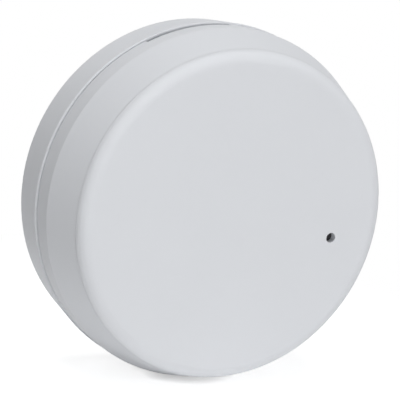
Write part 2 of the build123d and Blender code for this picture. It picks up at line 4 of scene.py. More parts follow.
import bmesh
import bpy
import numpy as np
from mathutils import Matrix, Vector


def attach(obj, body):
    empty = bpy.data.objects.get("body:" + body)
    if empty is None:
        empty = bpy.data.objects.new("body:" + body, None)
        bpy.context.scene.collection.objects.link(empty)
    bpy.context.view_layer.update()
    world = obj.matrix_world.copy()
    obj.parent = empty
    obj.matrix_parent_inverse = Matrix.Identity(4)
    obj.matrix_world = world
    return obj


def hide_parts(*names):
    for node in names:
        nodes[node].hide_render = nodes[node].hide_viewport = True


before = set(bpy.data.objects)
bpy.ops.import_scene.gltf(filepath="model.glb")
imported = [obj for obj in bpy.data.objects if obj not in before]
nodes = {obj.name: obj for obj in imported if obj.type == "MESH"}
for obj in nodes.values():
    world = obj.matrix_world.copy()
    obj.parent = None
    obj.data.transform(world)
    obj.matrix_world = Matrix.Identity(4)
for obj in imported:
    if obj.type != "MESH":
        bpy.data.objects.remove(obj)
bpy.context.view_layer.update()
print("frame loaded,", len(nodes), "nodes")

# The scene is in metres: x to the right, y into the wall, z up; a depth is counted out of the wall, along -y.
# Lengths in the dictionaries are in mm unless they carry * mm, and "at" is an (x, z) place unless a note says more.
mm = 0.001
noiseMean = 0.5  # a noise runs from 0 to 1 about this


# Shader sums written as Python

class Socket:
    # one output of a node; each operator adds the Math node that its sign names
    def __init__(self, recipe, out):
        self.recipe, self.out = recipe, out

    def math(self, operation, first, second=0.0):
        return self.recipe.node("Math", {"operation": operation}, {0: first, 1: second})

    def __add__(self, other):
        return self.math("ADD", self, other)

    def __sub__(self, other):
        return self.math("SUBTRACT", self, other)

    def __rsub__(self, other):
        return self.math("SUBTRACT", other, self)

    def __mul__(self, other):
        return self.math("MULTIPLY", self, other)

    def __pow__(self, other):
        return self.math("POWER", self, other)

    def __mod__(self, other):
        return self.math("FLOORED_MODULO", self, other)

    def __gt__(self, other):
        return self.math("GREATER_THAN", self, other)

    def __lt__(self, other):
        return self.math("LESS_THAN", self, other)

    def __abs__(self):
        return self.math("ABSOLUTE", self)

    __radd__ = __add__
    __rmul__ = __mul__


class Recipe:
    # the node tree of a material or world, empty at first
    def __init__(self, owner):
        owner.use_nodes = True
        self.owner, self.tree = owner, owner.node_tree
        self.tree.nodes.clear()

    @cached_property
    def place(self):
        # where the point is on the object, in metres
        return self.node("TexCoord", outlet="Object")

    @cached_property
    def axes(self):
        # x, depth out of the wall, and height
        x, y, z = (self.node("SeparateXYZ", {}, {0: self.place}, k) for k in range(3))
        return x, y * -1.0, z

    def plug(self, socket, value):
        # a link from another node, a colour or a plain number
        if isinstance(value, Socket):
            self.tree.links.new(value.out, socket)
        elif socket.type == "RGBA":
            socket.default_value = (*value, 1.0)
        else:
            socket.default_value = value

    def node(self, kind, settings=None, sockets=None, outlet=0):
        # any node: its settings first, then the values or links of its sockets
        made = self.tree.nodes.new("ShaderNode" + kind)
        for key, value in (settings or {}).items():
            setattr(made, key, value)
        for key, value in (sockets or {}).items():
            self.plug(made.inputs[key], value)
        return Socket(self, made.outputs[outlet])

    def noise(self, size, detail=2.0, roughness=0.5, stretch=None):
        # smooth random values from 0 to 1, with lumps of about that size in metres
        place = self.node("Mapping", {}, {"Vector": self.place, "Scale": stretch}) if stretch else self.place
        return self.node("TexNoise", {}, {"Vector": place, "Scale": 1 / size, "Detail": detail,
                                          "Roughness": roughness})

    def blend(self, share, first, second):
        # colour = first + share * (second - first); a Mix node's colours are its inputs 6 and 7 and its output 2
        return self.node("Mix", {"data_type": "RGBA"}, {0: share, 6: first, 7: second}, 2)

    def ramp(self, value, low, high):
        # 0 up to low, 1 from high, smooth between them
        return self.node("MapRange", {"interpolation_type": "SMOOTHSTEP"},
                         {"Value": value, "From Min": low, "From Max": high})

    def away(self, at):
        # distance from an axis that runs out of the wall through (x, height) = at
        x, _, z = self.axes
        across, up = x - at[0] * mm, z - at[1] * mm
        return (across * across + up * up) ** 0.5

    def disc(self, at, radius, soft=0.05):
        # 1 inside a circle round that axis, 0 outside it
        return 1.0 - self.ramp(self.away(at), (radius - soft) * mm, (radius + soft) * mm)

    def band(self, value, low, high, soft=0.03):
        # 1 between the two values, in mm, 0 outside them
        return self.ramp(value, (low - soft) * mm, (low + soft) * mm) * (
            1.0 - self.ramp(value, (high - soft) * mm, (high + soft) * mm))

    def bump(self, height, depth, strength=1.0, under=None):
        # a normal tilted by the height's slope, on top of the normal under it
        sockets = {"Height": height, "Distance": depth, "Strength": strength}
        if under:
            sockets["Normal"] = under
        return self.node("Bump", {}, sockets)

    def principled(self, **sockets):
        # Base_Color and the like stand for socket names with spaces
        named = {key.replace("_", " "): value for key, value in sockets.items()}
        return self.shown("OutputMaterial", self.node("BsdfPrincipled", {}, named))

    def shown(self, kind, shader):
        # the owner, its output node fed by the shader
        out = self.tree.nodes.new("ShaderNode" + kind)
        self.plug(out.inputs["Surface"], shader)
        return self.owner


def material(name):
    # a new material's empty recipe
    return Recipe(bpy.data.materials.new(name))


def shade(color, factor):
    # colour * factor, no channel over 1
    return tuple(min(1.0, c * factor) for c in color)


def marked(m, look, color, relief, dents, paint):
    # dents(m) is a height laid over the relief; paint(m) is a share and a tint laid over the colour
    if dents:
        relief = m.bump(dents(m), look["dentDepth"], under=relief)
    if paint:
        share, tint = paint(m)
        color = m.blend(share, color, tint)
    return color, relief


# Moulded plastic: a slow drift between two near shades, under a spark-eroded grain that also varies the gloss

def plastic(color, roughness=0.45, grain=0.25, specular=0.5, depth=0.012, speckle=0.04):
    return {"color": color, "detail": 3.0, "driftSize": 18 * mm, "drift": 0.012, "grainSize": grain * mm,
            "grainRoughness": 0.6, "speckle": speckle, "speckleShade": 0.8, "roughness": roughness,
            "glossGrain": 0.08, "glossDrift": 0.05, "grainDepth": depth * mm, "grainStrength": 0.5,
            "dentDepth": 0.25 * mm, "specular": specular}


def mouldedPlastic(name, look, dents=None, paint=None):
    # colour = drift shade, darker by speckle * grain; roughness = roughness + grain and drift shares
    m = material(name)
    drift = m.noise(look["driftSize"], look["detail"])
    grain = m.noise(look["grainSize"], look["detail"], look["grainRoughness"])
    color = m.blend(drift, shade(look["color"], 1 - look["drift"]), shade(look["color"], 1 + look["drift"]))
    color = m.blend(grain * look["speckle"], color, shade(look["color"], look["speckleShade"]))
    roughness = (look["roughness"] + (grain - noiseMean) * look["glossGrain"]
                 + (drift - noiseMean) * look["glossDrift"])
    relief = m.bump(grain, look["grainDepth"], look["grainStrength"])
    color, relief = marked(m, look, color, relief, dents, paint)
    return m.principled(Base_Color=color, Roughness=roughness, Normal=relief,
                        Specular_IOR_Level=look["specular"])


# Metal: a fine line grain, with slow stains that dull it; along scales the grain's pattern on x, y and z, so
# that 0.1 draws the lines out ten times as long that way

def metal(color, roughness=0.3, along=(1.0, 1.0, 1.0), stain=0.35, lines=0.12):
    return {"color": color, "stainColor": shade(color, 0.62), "lineSize": lines * mm, "lineDetail": 2.0,
            "lineRoughness": 0.6, "along": along, "stainSize": 2.5 * mm, "stainDetail": 4.0,
            "stainRoughness": 0.6, "stain": stain, "roughness": roughness, "glossLines": 0.16,
            "glossStain": 0.12, "lineDepth": 0.004 * mm, "lineStrength": 0.4, "dentDepth": 0.15 * mm}


def platedMetal(name, look, dents=None, paint=None):
    # colour = color to stainColor by stain * stains; roughness = roughness + line and stain shares
    m = material(name)
    lines = m.noise(look["lineSize"], look["lineDetail"], look["lineRoughness"], look["along"])
    stains = m.noise(look["stainSize"], look["stainDetail"], look["stainRoughness"])
    color = m.blend(stains * look["stain"], look["color"], look["stainColor"])
    roughness = look["roughness"] + (lines - noiseMean) * look["glossLines"] + stains * look["glossStain"]
    relief = m.bump(lines, look["lineDepth"], look["lineStrength"])
    color, relief = marked(m, look, color, relief, dents, paint)
    return m.principled(Base_Color=color, Roughness=roughness, Metallic=1.0, Normal=relief)


# Surfaces worked out with numpy

def surface(grid, capEnds=False):
    # quads between neighbouring points of a grid whose last column joins its first; the end rows can be closed
    rows, columns = grid.shape[:2]
    r = np.arange(rows - 1)[:, None] * columns
    c = np.arange(columns)[None]
    ahead = (c + 1) % columns
    faces = np.stack([r + c, r + ahead, r + columns + ahead, r + columns + c], -1).reshape(-1, 4).tolist()
    if capEnds:
        faces += [list(range(columns)), list(range((rows - 1) * columns, rows * columns))]
    return grid.reshape(-1, 3), faces


def together(parts):
    # several (points, faces) pairs as one
    points, faces, start = [], [], 0
    for some, quads in parts:
        points.append(some)
        faces += [[k + start for k in face] for face in quads]
        start += len(some)
    return np.concatenate(points), faces


def lathe(profile, centre, sides):
    # point(angle, k) = centre + (radius_k cos angle, -depth_k, radius_k sin angle)
    radius, depth = (np.array(profile, float) * mm).T[..., None]
    angle = np.linspace(0, 2 * pi, sides, endpoint=False)[None]
    grid = np.stack([radius * np.cos(angle), -depth + 0 * angle, radius * np.sin(angle)], -1)
    return surface(grid + np.array([centre[0], 0, centre[1]]) * mm)


def rounded(corners, steps):
    # a profile whose (radius, depth, round) corners are replaced by curves tangent to both sides:
    # curve(t) = (1 - t)^2 start + 2 t (1 - t) corner + t^2 end, start and end being round away from the corner
    corners = np.array(corners, float)
    before, after = np.roll(corners[:, :2], 1, 0), np.roll(corners[:, :2], -1, 0)
    before[0], after[-1] = corners[0, :2], corners[-1, :2]
    here, size = corners[:, None, :2], corners[:, 2:, None]
    t = np.linspace(0, 1, steps)[None, :, None]

    def toward(other):
        # the tiny least length keeps the profile's two ends from dividing by nought
        way = other[:, None] - here
        return here + way / np.maximum(np.linalg.norm(way, axis=-1, keepdims=True), 1e-9) * size

    curve = (1 - t) ** 2 * toward(before) + 2 * t * (1 - t) * here + t ** 2 * toward(after)
    return curve.reshape(-1, 2)


def tube(path, radius, sides, across):
    # point(s, angle) = path(s) + radius (cos angle * side(s) + sin angle * up(s)),
    # side and up being square to the path and to each other
    way = np.gradient(path, axis=0)
    way /= np.linalg.norm(way, axis=-1, keepdims=True)
    side = np.cross(way, np.broadcast_to(across, way.shape))
    side /= np.linalg.norm(side, axis=-1, keepdims=True)
    up = np.cross(side, way)
    angle = np.linspace(0, 2 * pi, sides, endpoint=False)[None, :, None]
    grid = path[:, None] + radius * (np.cos(angle) * side[:, None] + np.sin(angle) * up[:, None])
    return surface(grid, capEnds=True)


def piece(name, made, body, skin, stands=(), smoothAngle=35.0, merge=1e-7):
    # a mesh whose doubles, nearer than merge metres, are merged and whose faces are turned outwards, riding on a
    # body; stands names the CAD nodes that it takes the place of
    mesh = bpy.data.meshes.new(name)
    mesh.from_pydata(made[0].tolist(), [], made[1])
    shape = bmesh.new()
    shape.from_mesh(mesh)
    bmesh.ops.remove_doubles(shape, verts=shape.verts, dist=merge)
    bmesh.ops.recalc_face_normals(shape, faces=shape.faces)
    shape.to_mesh(mesh)
    shape.free()
    mesh.polygons.foreach_set("use_smooth", [True] * len(mesh.polygons))
    mesh.set_sharp_from_angle(angle=radians(smoothAngle))
    mesh.materials.append(skin)
    built = bpy.data.objects.new(name, mesh)
    bpy.context.scene.collection.objects.link(built)
    if stands:
        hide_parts(*stands)
    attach(built, body)


def dress(skin, *names):
    # gives CAD nodes a material in place of their plain one
    for name in names:
        nodes[name].data.materials.clear()
        nodes[name].data.materials.append(skin)


# Camera

camera = {"at": (-0.216372, -0.415517, 0.104703), "turn": (76.99672, -6.64302, -26.60844), "lens": 188.2335,
          "sensor": 36.0}
lens = bpy.data.cameras.new("camera")
lens.lens, lens.sensor_width = camera["lens"], camera["sensor"]
eye = bpy.data.objects.new("camera", lens)
bpy.context.scene.collection.objects.link(eye)
eye.location = camera["at"]
eye.rotation_euler = [radians(angle) for angle in camera["turn"]]
bpy.context.scene.camera = eye
bpy.context.scene.view_settings.view_transform = "Standard"

# Shells: a fine grain all over, and the round marks of the mould's ejector pins and gate on their flat faces

shellLook = plastic((0.763, 0.78, 0.812), roughness=0.55, grain=0.3, specular=0.22)
trayLook = plastic((0.7, 0.715, 0.74), roughness=0.5, grain=0.35, specular=0.4)
ejectorMarks = {"radius": 2.0, "edge": 0.2, "sunk": 0.5, "ringAt": 30.0, "count": 10, "gate": 1.4, "gateRise": 0.6,
                "line": 0.25, "gateLine": (-0.2, 0.1), "soft": 0.08, "witness": 0.3, "witnessShade": 0.55,
                "innerFace": (26.5, 27.1)}


def pinDistance(m):
    # distance from the nearest mark on a ring, with one fold for all: angle modulo 360 / count
    x, _, z = m.axes
    step = 2 * pi / ejectorMarks["count"]
    turn = m.node("Math", {"operation": "ARCTAN2"}, {0: z, 1: x}) % step - step / 2
    radius = (x * x + z * z) ** 0.5
    along, out = turn * radius, radius - ejectorMarks["ringAt"] * mm
    return (along * along + out * out) ** 0.5


def pinMarks(m):
    # height = sunk outside the circles and 0 in them, and gateRise more on the gate's scar in the middle
    look = ejectorMarks
    flat = m.ramp(pinDistance(m), (look["radius"] - look["edge"]) * mm, look["radius"] * mm)
    return flat * look["sunk"] + m.disc((0, 0), look["gate"], look["edge"]) * look["gateRise"]


def pinWitness(m):
    # a thin dull line round each circle and the gate
    look = ejectorMarks
    ring = m.band(pinDistance(m), look["radius"] - look["line"], look["radius"], look["soft"])
    gate = m.band(m.away((0, 0)), *(look["gate"] + side for side in look["gateLine"]), look["soft"])
    return (ring + gate) * look["witness"], shade(shellLook["color"], look["witnessShade"])


def innerMarks(m):
    # the same marks on the cover, on its inner face alone
    return pinMarks(m) * m.band(m.axes[1], *ejectorMarks["innerFace"])


dress(mouldedPlastic("shellPlastic", shellLook, innerMarks), "front_cover")
dress(mouldedPlastic("basePlastic", shellLook, pinMarks, pinWitness), "mounting_base")
dress(mouldedPlastic("trayPlastic", trayLook), "chassis")
print("shells dressed")

# Circuit board: green mask, lighter over the copper pour, with the bare glass cloth along its sawn edges

boardLook = {"mask": (0.012, 0.115, 0.045), "pour": (0.02, 0.165, 0.066), "core": (0.33, 0.31, 0.16),
             "top": 16.6, "under": 15.0, "inset": 0.05, "soft": 0.02, "weave": 0.42, "weaveRise": 0.3,
             "cloud": 6.0, "cloudShare": 0.2, "pourRadius": (33.3, 33.4), "pourLeft": (-7.8, -7.7),
             "pourShare": 0.8, "relief": 0.01, "reliefStrength": 0.35, "roughness": 0.28,
             "coreRoughness": 0.4, "cloudRoughness": 0.06, "specular": 0.5}


def boardSkin(look):
    # weave = sin(2 pi x / pitch) sin(2 pi z / pitch); the pour lies inside a circle and right of a line;
    # the side shows the core between the two faces
    m = material("solderMask")
    x, depth, z = m.axes
    rate = 2 * pi / (look["weave"] * mm)
    weave = (m.node("Math", {"operation": "SINE"}, {0: x * rate})
             * m.node("Math", {"operation": "SINE"}, {0: z * rate}))
    cloud = m.noise(look["cloud"] * mm)
    inside = 1.0 - m.ramp(m.away((0, 0)), *(radius * mm for radius in look["pourRadius"]))
    pour = inside * m.ramp(x, *(left * mm for left in look["pourLeft"]))
    color = m.blend(pour * look["pourShare"] + cloud * look["cloudShare"], look["mask"], look["pour"])
    side = m.band(depth, look["under"] + look["inset"], look["top"] - look["inset"], look["soft"])
    color = m.blend(side, color, look["core"])
    relief = m.bump(weave * look["weaveRise"] + cloud, look["relief"] * mm, look["reliefStrength"])
    roughness = look["roughness"] + side * look["coreRoughness"] + cloud * look["cloudRoughness"]
    return m.principled(Base_Color=color, Roughness=roughness, Normal=relief, Specular_IOR_Level=look["specular"])


dress(boardSkin(boardLook), "circuit_board")


def ribbons(lines, width, low, high, sharpest=0.5):
    # a flat bar along each line of (x, z) points, mitred at its corners:
    # edge = point +- width / 2 * normal / cos(half the turn), that cosine being no less than sharpest
    made = []
    for line in lines:
        path = np.array(line, float)
        way = np.diff(path, axis=0)
        way /= np.linalg.norm(way, axis=1, keepdims=True)
        ahead, behind = np.vstack([way, way[-1:]]), np.vstack([way[:1], way])
        middle = ahead + behind
        middle /= np.linalg.norm(middle, axis=1, keepdims=True)
        reach = width / 2 / np.maximum(sharpest, (middle * ahead).sum(1))[:, None]
        side = np.c_[-middle[:, 1], middle[:, 0]] * reach
        corners = [(path - side, low), (path - side, high), (path + side, high), (path + side, low)]
        grid = np.stack([np.c_[flat[:, 0], np.full(len(path), -depth), flat[:, 1]]
                         for flat, depth in corners], 1)
        made.append(surface(grid * mm, capEnds=True))
    return together(made)


def frusta(boxes, foot, top, low, high):
    # a block with sloping sides on each (x0, z0, x1, z1) box: grown by foot at depth low and by top at depth high
    made = []
    for x0, z0, x1, z1 in boxes:
        ring = np.array([[x0, z0, -1, -1], [x1, z0, 1, -1], [x1, z1, 1, 1], [x0, z1, -1, 1]], float)
        rows = [np.c_[ring[:, 0] + by * ring[:, 2], np.full(4, -depth), ring[:, 1] + by * ring[:, 3]]
                for by, depth in ((foot, low), (top, high))]
        made.append(surface(np.stack(rows) * mm, capEnds=True))
    return together(made)


def outline(x0, z0, x1, z1, cut):
    # a rectangle's corners as strokes of length cut, or a third of the side if that is less
    a, b = min(cut, (x1 - x0) / 3), min(cut, (z1 - z0) / 3)
    return [[(x0, z0 + b), (x0, z0), (x0 + a, z0)], [(x1 - a, z0), (x1, z0), (x1, z0 + b)],
            [(x1, z1 - b), (x1, z1), (x1 - a, z1)], [(x0 + a, z1), (x0, z1), (x0, z1 - b)]]


def pinBoxes(name, corners):
    # the (x0, z0, x1, z1) boxes, in mm, of a node's equal solids, each with that many corners in its mesh
    mesh = nodes[name].data
    places = np.empty(len(mesh.vertices) * 3)
    mesh.vertices.foreach_get("co", places)
    groups = places.reshape(-1, corners, 3)[..., [0, 2]] / mm
    return np.c_[groups.min(1), groups.max(1)]


# Each foot is a depth a little under the board's face

traces = {
    "width": 0.3, "foot": 16.55, "rise": 0.035, "color": (0.055, 0.3, 0.12),
    "lines": [
        # from the microcontroller: its top, right, lower and left sides
        [(5.0, 10.2), (5.0, 11.1), (4.6, 11.5), (4.6, 15.0), (6.5, 16.9)], [(6.6, 10.2), (6.6, 12.1)],
        [(5.8, 10.2), (5.8, 11.2), (5.5, 11.5), (5.5, 12.1)],
        [(7.4, 10.2), (7.4, 11.0), (8.3, 11.9), (8.3, 12.2)],
        [(9.0, 10.2), (9.0, 10.9), (9.6, 11.5), (9.6, 12.1)], [(9.8, 10.2), (9.8, 10.8), (11.1, 12.1)],
        [(10.6, 10.2), (10.6, 10.9), (11.2, 11.5), (13.1, 11.5), (13.45, 11.85), (13.45, 17.8)],
        [(11.4, 10.2), (11.4, 10.5), (11.9, 11.0), (13.55, 11.0), (14.3, 11.75), (14.3, 16.6)],
        [(12.2, 10.2), (12.2, 10.4), (12.3, 10.5), (13.7, 10.5), (15.6, 12.4), (18.1, 12.4)],
        [(14.7, 7.7), (17.4, 7.7), (19.2, 9.5)], [(14.7, 6.9), (19.6, 6.9), (25.1, 12.4), (25.1, 16.4)],
        [(14.7, 6.1), (15.6, 5.8)], [(14.7, 3.7), (15.0, 3.4), (20.4, 3.4), (26.15, 9.15), (26.15, 18.2)],
        [(14.7, 2.9), (21.6, 2.9), (27.6, 8.9)], [(14.7, 2.1), (18.6, 2.1), (19.8, 0.9)],
        [(14.7, 1.3), (15.6, 1.3)], [(5.0, -1.2), (5.0, -3.4), (3.15, -5.25), (3.15, -11.6)],
        [(5.8, -1.2), (5.8, -3.8), (3.9, -5.7), (3.9, -6.0)],
        [(6.6, -1.2), (6.6, -5.3), (5.55, -6.35), (5.55, -12.0)], [(7.4, -1.2), (7.4, -3.6), (8.1, -3.9)],
        [(8.2, -1.2), (8.2, -1.8), (9.9, -3.5)],
        [(9.0, -1.2), (10.6, -2.8), (10.6, -9.6), (11.0, -10.0), (11.54, -10.0)],
        [(9.8, -1.2), (11.9, -3.3), (11.9, -7.9), (12.1, -8.1)], [(10.6, -1.2), (13.8, -4.4), (13.8, -8.2)],
        [(11.4, -1.2), (14.4, -4.2), (17.4, -4.2), (18.8, -2.8)], [(12.2, -1.2), (14.0, -3.0), (16.8, -3.0)],
        [(3.3, 7.7), (0.9, 7.7), (-1.4, 10.0)], [(3.3, 6.9), (2.2, 6.9)], [(3.3, 6.1), (3.2, 6.1), (2.3, 5.2)],
        [(3.3, 5.3), (3.2, 5.3), (3.0, 5.1), (3.0, 4.6), (0.4, 2.0), (0.4, -0.7), (1.2, -0.9)],
        [(3.3, 2.1), (3.2, 2.1), (2.2, 1.1), (2.2, -5.6), (0.2, -7.6)],
        [(3.3, 1.3), (3.2, 1.3), (2.67, 0.77), (2.67, -7.4), (2.2, -7.9), (2.2, -8.5)],
        # round the amplifier and the header
        [(13.1, -19.0), (13.1, -20.2), (12.4, -20.9), (12.4, -21.5)],
        [(19.1, -19.0), (19.1, -20.0), (17.6, -21.5)],
        [(16.1, -19.0), (16.1, -20.0), (15.0, -21.1), (15.0, -21.5)],
        [(11.7, -10.8), (11.7, -9.4), (12.1, -9.0)], [(19.3, -10.8), (19.3, -7.2), (21.6, -4.9)],
        [(18.0, -10.8), (18.0, -6.4), (20.4, -4.0)], [(19.3, -17.2), (21.3, -17.2), (21.7, -17.6)],
        [(16.8, -17.2), (16.8, -18.0), (16.2, -18.6)], [(14.2, -17.2), (14.2, -18.0), (13.3, -18.6)],
        [(11.7, -17.2), (10.4, -18.5), (9.6, -18.5)], [(9.6, -19.9), (11.2, -21.5), (11.2, -22.0)],
        [(23.4, -17.8), (27.4, -13.8), (27.4, -10.2)], [(22.5, -11.9), (22.5, -10.9)],
        # the battery's contacts, capacitors, crystal, button and switches
        [(-6.0, -8.6), (-6.0, -2.0), (-3.9, 0.1), (-3.9, 1.0)], [(-6.0, -10.5), (-6.0, -18.2), (-7.0, -19.2)],
        [(-3.5, 5.6), (-3.5, 9.0)], [(0.9, 21.5), (-4.2, 21.5), (-6.6, 19.6)], [(5.0, -25.8), (5.0, -23.9)],
        [(4.9, 23.5), (8.4, 23.5), (9.4, 22.5), (14.0, 22.5)],
        [(24.9, 18.6), (24.9, 21.4), (22.1, 24.2), (20.6, 24.2)], [(26.31, 15.0), (26.75, 15.0), (28.4, 13.35)],
        [(-5.4, 13.4), (-6.2, 14.2), (-6.2, 18.4)], [(6.6, 12.9), (6.6, 15.4)],
        [(9.6, 12.9), (9.6, 14.2), (9.0, 14.8), (9.0, 15.4)],
        [(12.6, 12.9), (12.6, 13.9), (11.5, 15.0), (11.5, 15.4)]]}
vias = {
    "radius": 0.38, "hole": 0.17, "foot": 16.58, "rise": 0.05, "holeRound": 0.03, "edgeRound": 0.04,
    "steps": 3, "sides": 14,
    "at": [
        (13.45, 18.0), (14.3, 16.8), (19.3, 9.6), (25.1, 16.6), (27.7, 9.0), (19.9, 0.8), (3.15, -11.8),
        (5.55, -12.2), (18.9, -2.7), (17.0, -3.0), (0.1, -7.7), (21.7, -4.8), (20.5, -3.9), (27.4, -10.0),
        (22.5, -10.7), (28.5, 13.25), (-4.8, 25.6), (-0.9, 26.6), (8.6, 27.8), (12.2, 27.2), (27.4, -4.6),
        (30.6, 4.4), (31.4, 0.6), (30.8, -4.4), (24.0, -22.4), (21.6, -25.0), (-1.2, -26.4), (-5.4, -25.2),
        (10.6, -28.4), (-6.8, 7.6), (-7.2, 2.0), (-7.4, -5.6), (11.0, 25.0)]}
silk = {
    "width": 0.16, "foot": 16.56, "rise": 0.02, "corner": 1.6,
    "boxes": [
        (2.9, -1.6, 15.1, 10.6), (10.6, -18.1, 20.4, -9.9), (10.6, -26.9, 19.4, -20.7), (-1.5, 18.0, 5.5, 25.0),
        (6.0, 14.8, 13.0, 21.6), (17.5, 9.9, 24.5, 16.9), (-8.5, 8.3, 4.0, 14.7), (-5.8, -24.5, 10.2, -12.5),
        (13.5, 19.0, 21.1, 26.6), (2.0, -31.6, 8.0, -25.4), (-6.5, 0.0, -0.5, 6.0)]}

copper = ribbons(traces["lines"], traces["width"], traces["foot"], boardLook["top"] + traces["rise"])
traceLook = plastic(traces["color"], roughness=0.25, grain=0.4, depth=0.004, speckle=0.1)
piece("boardTraces", copper, "unit", mouldedPlastic("maskOverCopper", traceLook), smoothAngle=20.0)

viaTop = boardLook["top"] + vias["rise"]
ring = rounded([(vias["hole"], vias["foot"], 0), (vias["hole"], viaTop, vias["holeRound"]),
                (vias["radius"], viaTop, vias["edgeRound"]), (vias["radius"], vias["foot"], 0)], vias["steps"])
tin = platedMetal("tinPlate", metal((0.55, 0.55, 0.54), stain=0.5))
piece("boardVias", together([lathe(ring, at, vias["sides"]) for at in vias["at"]]), "unit", tin)

strokes = [stroke for box in silk["boxes"] for stroke in outline(*box, cut=silk["corner"])]
printed = ribbons(strokes, silk["width"], silk["foot"], boardLook["top"] + silk["rise"])
inkLook = plastic((0.8, 0.8, 0.78), roughness=0.6, grain=0.15, specular=0.4)
piece("boardPrint", printed, "unit", mouldedPlastic("boardInk", inkLook), smoothAngle=20.0)

# Solder: a thin pad under each pin, a sloped fillet up each end of the small parts, a cone round each lead

solder = {"foot": 16.56, "pinCorners": 36, "pad": 0.14, "padTop": 0.4, "padRise": 0.1, "endCorners": 24,
          "fillet": 0.3, "filletTop": -0.03, "filletRise": 0.32}
leadSolder = {"foot": 16.55, "skirt": 16.62, "skirtRound": 0.03, "shoulder": 16.75, "shoulderRound": 0.3,
              "rise": 0.6, "steps": 5, "sides": 24,
              "leads": [  # place, radius at the foot, radius at the neck
                  ((-7.0, -19.5), 1.45, 0.75), ((-7.0, 19.5), 1.45, 0.75), ((-0.12, -32.69), 0.95, 0.42),
                  ((29.43, -14.22), 0.95, 0.42)]}


def leadJoint(look, at, wide, narrow):
    # a turned cone: wide at its skirt, drawn in to narrow at its shoulder, straight above it
    top = boardLook["top"] + look["rise"]
    corners = [(0.0, look["foot"], 0), (wide, look["foot"], 0), (wide, look["skirt"], look["skirtRound"]),
               (narrow, look["shoulder"], look["shoulderRound"]), (narrow, top, 0), (0.0, top, 0)]
    return lathe(rounded(corners, look["steps"]), at, look["sides"])


pads = frusta(pinBoxes("chip_pins", solder["pinCorners"]), solder["pad"], solder["pad"] * solder["padTop"],
              solder["foot"], boardLook["top"] + solder["padRise"])
fillets = frusta(pinBoxes("chip_terminals", solder["endCorners"]), solder["fillet"], solder["filletTop"],
                 solder["foot"], boardLook["top"] + solder["filletRise"])
cones = [leadJoint(leadSolder, *lead) for lead in leadSolder["leads"]]
shiny = platedMetal("solder", metal((0.52, 0.53, 0.54), roughness=0.25, stain=0.45, lines=0.5))
piece("solderJoints", together([pads, fillets] + cones), "unit", shiny, smoothAngle=25.0)
print("board printed")

# Battery: a can with a shrunk film sleeve, whose ends are drawn in over the can's edges

sleeveLook = {
    "at": (-19.0, 14.8),  # x and depth of its upright axis
    "low": -14.65, "high": 17.15, "radius": 8.5, "inside": 8.36, "sides": 144, "ripple": 0.1, "drawn": 0.16,
    "ends": [(0, 1, 0.06), (0.05, 1, 0.01), (0.3, 0.8, 0), (1.0, 0.4, 0), (3.0, 0, 0)],  # reach, share, droop
    "lap": 0.02, "lapAt": 2.2, "lapSharp": 8.0, "lapCut": 7.6,
    "film": (0.03, 0.09, 0.3), "band": (0.62, 0.63, 0.65), "bandFrom": 11.5, "bandSoft": 0.05,
    "wrinkle": 1.6, "wrinkleDetail": 3.0, "wrinkleAlong": (1.0, 1.0, 0.25), "wrinkleDepth": 0.03,
    "wrinkleStrength": 0.4, "scuff": (0.5, 0.5, 0.52), "scuffShare": 0.12, "roughness": 0.2,
    "wrinkleRoughness": 0.12}


def sleeveFilm(look):
    # height(angle) = low + reach + share (drawn - ripple (sin (7 angle + 1) + 0.6 sin 12 angle)), and the
    # mirror of it at the high end; radius = radius - lap - droop, and lap more where a cosine passes lapCut
    angle = np.linspace(0, 2 * pi, look["sides"], endpoint=False)[None]
    wave = look["ripple"] * (np.sin(7 * angle + 1) + 0.6 * np.sin(12 * angle)) - look["drawn"]
    reach, share, droop = np.array(look["ends"]).T[..., None]
    low = look["low"] + reach - wave * share
    high = look["high"] - reach + wave * share
    height = np.vstack([low, high[::-1]])
    radius = look["radius"] - look["lap"] - np.vstack([droop, droop[::-1]]) + 0 * angle
    radius = radius + look["lap"] * np.clip(
        look["lapSharp"] * np.cos(angle - look["lapAt"]) - look["lapCut"], 0, 1)
    inner = np.full_like(radius, look["inside"])
    radius = np.vstack([radius, inner[::-1], radius[:1]])
    height = np.vstack([height, height[::-1], height[:1]])
    x, depth = look["at"]
    grid = np.stack([x + radius * np.cos(angle), -depth - radius * np.sin(angle), height], -1)
    return surface(grid * mm)


def filmSkin(look):
    # colour = film up to bandFrom and band above it, paler by scuffShare * wrinkle
    m = material("sleeveFilm")
    wrinkle = m.noise(look["wrinkle"] * mm, look["wrinkleDetail"], stretch=look["wrinkleAlong"])
    bandTo = look["bandFrom"] + look["bandSoft"]
    color = m.blend(m.ramp(m.axes[2], look["bandFrom"] * mm, bandTo * mm), look["film"], look["band"])
    color = m.blend(wrinkle * look["scuffShare"], color, look["scuff"])
    relief = m.bump(wrinkle, look["wrinkleDepth"] * mm, look["wrinkleStrength"])
    return m.principled(Base_Color=color, Roughness=look["roughness"] + wrinkle * look["wrinkleRoughness"],
                        Normal=relief)


piece("batterySleeveFilm", sleeveFilm(sleeveLook), "unit", filmSkin(sleeveLook), ["battery_sleeve"])
nickelLook = metal((0.58, 0.57, 0.54), roughness=0.25, along=(1.0, 1.0, 0.1), stain=0.45)
dress(platedMetal("nickelPlate", nickelLook), "battery_cap", "contact_negative", "contact_positive")
dress(platedMetal("canSteel", metal((0.58, 0.58, 0.58), stain=0.4)), "battery_can")
dress(mouldedPlastic("sealNylon", plastic((0.05, 0.05, 0.055), roughness=0.55, grain=0.2)), "battery_seal_ring")

# Springs: round wire wound closed at both ends, pitch = slow + fast sin^2(pi turn / turns)

